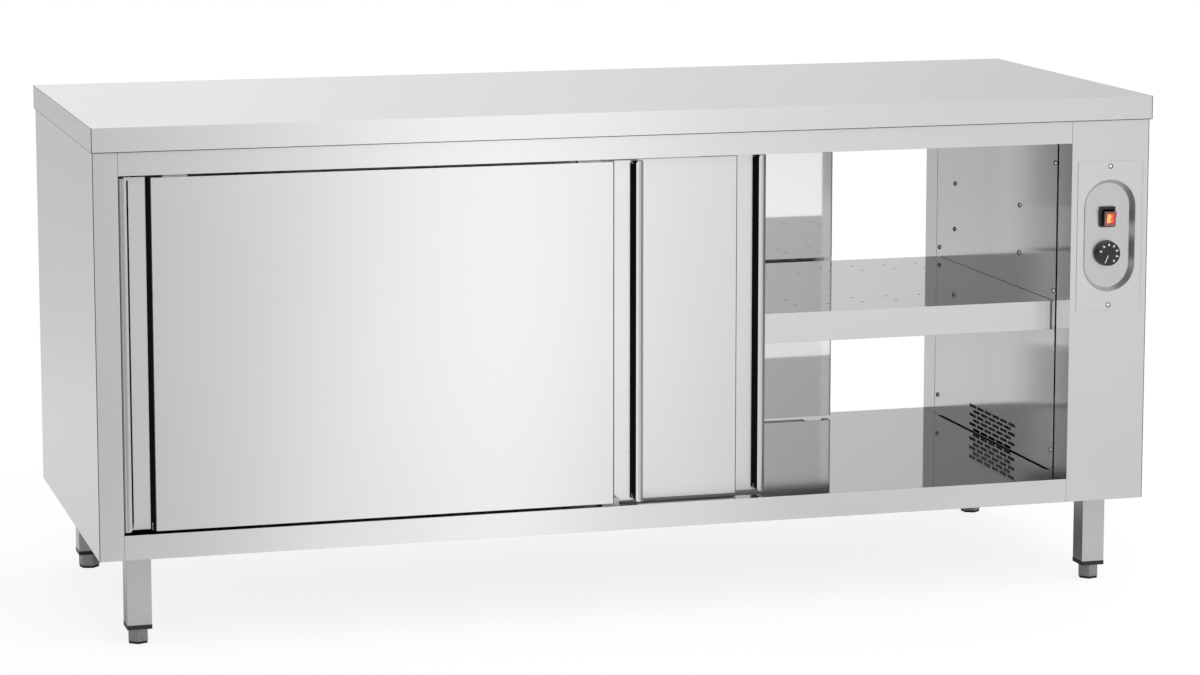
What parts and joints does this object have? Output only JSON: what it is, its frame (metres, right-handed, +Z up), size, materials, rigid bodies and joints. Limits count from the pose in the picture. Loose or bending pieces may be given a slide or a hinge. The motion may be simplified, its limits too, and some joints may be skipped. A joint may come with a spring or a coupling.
{
  "type": "plate warmer cabinet",
  "caption": "Long stainless pass-through hot cupboard on legs, with sliding doors on both sides, a perforated middle shelf and a fan heater behind a control column.",
  "frame": {"origin": "on the floor under the middle of the worktop", "axes": "+X right along the front, +Y from the front to the rear, +Z up"},
  "size_m": [1.8, 0.7, 0.845],
  "materials": {
    "satin_steel": "fine horizontal satin grain",
    "polished_steel": "bright, mirror-like rolled sheet",
    "plain_steel": "plain cold-rolled sheet",
    "screw_steel": "bright dome heads",
    "foot_metal": "zinc-plated, with a black pad at the sole",
    "zinc_plate": "zinc-plated",
    "heater_steel": "bright fins",
    "black_plastic": "fine matt",
    "red_rocker": "translucent, lit from inside",
    "ceramic": "glazed",
    "nylon": "smooth"
  },
  "bodies": {
    "cabinet": {"worktop": "satin_steel", "worktop_stiffeners": "plain_steel", "left_side_panel": "satin_steel", "right_side_panel": "satin_steel", "left_inner_wall": "polished_steel", "right_inner_wall": "polished_steel", "wall_posts": "plain_steel", "ceiling_panel": "polished_steel", "front_top_rail": "satin_steel", "rear_top_rail": "satin_steel", "front_bottom_rail": "satin_steel", "rear_bottom_rail": "satin_steel", "floor_pan": "polished_steel", "base_panel": "plain_steel", "middle_shelf": "polished_steel", "shelf_supports": "plain_steel", "dome_screws": "screw_steel", "front_left_leg": "satin_steel", "front_right_leg": "satin_steel", "rear_left_leg": "satin_steel", "rear_right_leg": "satin_steel", "leg_caps": "black_plastic", "control_plate": "satin_steel", "switch_housing": "black_plastic", "thermostat_body": "zinc_plate", "fan_housing": "zinc_plate", "fan_motor": "zinc_plate", "heating_element": "heater_steel", "component_plate": "zinc_plate", "terminal_block": "ceramic", "cable_gland": "black_plastic", "floor_guides": "plain_steel"},
    "front_left_door": {"front_left_door_skin": "satin_steel", "front_left_door_liner": "polished_steel", "front_left_door_hangers": "zinc_plate"},
    "front_left_door_roller_a": {"front_left_door_wheel_a": "nylon"},
    "front_left_door_roller_b": {"front_left_door_wheel_b": "nylon"},
    "front_right_door": {"front_right_door_skin": "satin_steel", "front_right_door_liner": "polished_steel", "front_right_door_hangers": "zinc_plate"},
    "front_right_door_roller_a": {"front_right_door_wheel_a": "nylon"},
    "front_right_door_roller_b": {"front_right_door_wheel_b": "nylon"},
    "rear_left_door": {"rear_left_door_skin": "satin_steel", "rear_left_door_liner": "polished_steel", "rear_left_door_hangers": "zinc_plate"},
    "rear_left_door_roller_a": {"rear_left_door_wheel_a": "nylon"},
    "rear_left_door_roller_b": {"rear_left_door_wheel_b": "nylon"},
    "rear_right_door": {"rear_right_door_skin": "satin_steel", "rear_right_door_liner": "polished_steel", "rear_right_door_hangers": "zinc_plate"},
    "rear_right_door_roller_a": {"rear_right_door_wheel_a": "nylon"},
    "rear_right_door_roller_b": {"rear_right_door_wheel_b": "nylon"},
    "rocker": {"switch_rocker": "red_rocker"},
    "dial": {"thermostat_knob": "black_plastic", "thermostat_shaft": "zinc_plate"},
    "blower_wheel": {"fan_impeller": "zinc_plate"},
    "front_left_levelling_foot": {"front_left_foot": "foot_metal"},
    "front_right_levelling_foot": {"front_right_foot": "foot_metal"},
    "rear_left_levelling_foot": {"rear_left_foot": "foot_metal"},
    "rear_right_levelling_foot": {"rear_right_foot": "foot_metal"}
  },
  "joints": [
    {"name": "front_left_door_slide", "type": "slide", "parent": "cabinet", "child": "front_left_door", "axis": [1, 0, 0], "range_m": [0, 0.753]},
    {"name": "front_left_door_roller_a_spin", "type": "hinge", "parent": "front_left_door", "child": "front_left_door_roller_a", "pos_m": [-0.7665, -0.325, 0.787], "axis": [0, 1, 0], "range_deg": [-5, 3927.2]},
    {"name": "front_left_door_roller_b_spin", "type": "hinge", "parent": "front_left_door", "child": "front_left_door_roller_b", "pos_m": [-0.0865, -0.325, 0.787], "axis": [0, 1, 0], "range_deg": [-5, 3927.2]},
    {"name": "front_right_door_slide", "type": "slide", "parent": "cabinet", "child": "front_right_door", "axis": [1, 0, 0], "range_m": [-0.2195, 0.5335]},
    {"name": "front_right_door_roller_a_spin", "type": "hinge", "parent": "front_right_door", "child": "front_right_door_roller_a", "pos_m": [-0.547, -0.299, 0.787], "axis": [0, 1, 0], "range_deg": [-1148.3, 2783.8]},
    {"name": "front_right_door_roller_b_spin", "type": "hinge", "parent": "front_right_door", "child": "front_right_door_roller_b", "pos_m": [0.133, -0.299, 0.787], "axis": [0, 1, 0], "range_deg": [-1148.3, 2783.8]},
    {"name": "rear_left_door_slide", "type": "slide", "parent": "cabinet", "child": "rear_left_door", "axis": [1, 0, 0], "range_m": [0, 0.753]},
    {"name": "rear_left_door_roller_a_spin", "type": "hinge", "parent": "rear_left_door", "child": "rear_left_door_roller_a", "pos_m": [-0.7665, 0.325, 0.787], "axis": [0, 1, 0], "range_deg": [-5, 3927.2]},
    {"name": "rear_left_door_roller_b_spin", "type": "hinge", "parent": "rear_left_door", "child": "rear_left_door_roller_b", "pos_m": [-0.0865, 0.325, 0.787], "axis": [0, 1, 0], "range_deg": [-5, 3927.2]},
    {"name": "rear_right_door_slide", "type": "slide", "parent": "cabinet", "child": "rear_right_door", "axis": [1, 0, 0], "range_m": [-0.5515, 0.2015]},
    {"name": "rear_right_door_roller_a_spin", "type": "hinge", "parent": "rear_right_door", "child": "rear_right_door_roller_a", "pos_m": [-0.215, 0.299, 0.787], "axis": [0, 1, 0], "range_deg": [-2877.6, 1054.6]},
    {"name": "rear_right_door_roller_b_spin", "type": "hinge", "parent": "rear_right_door", "child": "rear_right_door_roller_b", "pos_m": [0.465, 0.299, 0.787], "axis": [0, 1, 0], "range_deg": [-2877.6, 1054.6]},
    {"name": "rocker_tilt", "type": "hinge", "parent": "cabinet", "child": "rocker", "pos_m": [0.828, -0.3327, 0.63875], "axis": [-1, 0, 0], "range_deg": [0, 18]},
    {"name": "dial_turn", "type": "hinge", "parent": "cabinet", "child": "dial", "pos_m": [0.828, -0.3372, 0.57625], "axis": [0, 1, 0], "range_deg": [0, 270]},
    {"name": "blower_spin", "type": "hinge", "parent": "cabinet", "child": "blower_wheel", "pos_m": [0.832, 0, 0.232], "axis": [0, 1, 0], "continuous": true},
    {"name": "front_left_foot_screw", "type": "slide", "parent": "cabinet", "child": "front_left_levelling_foot", "axis": [0, 0, -1], "range_m": [0, 0.025]},
    {"name": "front_right_foot_screw", "type": "slide", "parent": "cabinet", "child": "front_right_levelling_foot", "axis": [0, 0, -1], "range_m": [0, 0.025]},
    {"name": "rear_left_foot_screw", "type": "slide", "parent": "cabinet", "child": "rear_left_levelling_foot", "axis": [0, 0, -1], "range_m": [0, 0.025]},
    {"name": "rear_right_foot_screw", "type": "slide", "parent": "cabinet", "child": "rear_right_levelling_foot", "axis": [0, 0, -1], "range_m": [0, 0.025]}
  ],
  "couplings": [
    {"joint": "front_left_door_roller_a_spin", "follows": "front_left_door_slide", "rad_per_m": 90.909},
    {"joint": "front_left_door_roller_b_spin", "follows": "front_left_door_slide", "rad_per_m": 90.909},
    {"joint": "front_right_door_roller_a_spin", "follows": "front_right_door_slide", "rad_per_m": 90.909},
    {"joint": "front_right_door_roller_b_spin", "follows": "front_right_door_slide", "rad_per_m": 90.909},
    {"joint": "rear_left_door_roller_a_spin", "follows": "rear_left_door_slide", "rad_per_m": 90.909},
    {"joint": "rear_left_door_roller_b_spin", "follows": "rear_left_door_slide", "rad_per_m": 90.909},
    {"joint": "rear_right_door_roller_a_spin", "follows": "rear_right_door_slide", "rad_per_m": 90.909},
    {"joint": "rear_right_door_roller_b_spin", "follows": "rear_right_door_slide", "rad_per_m": 90.909}
  ]
}
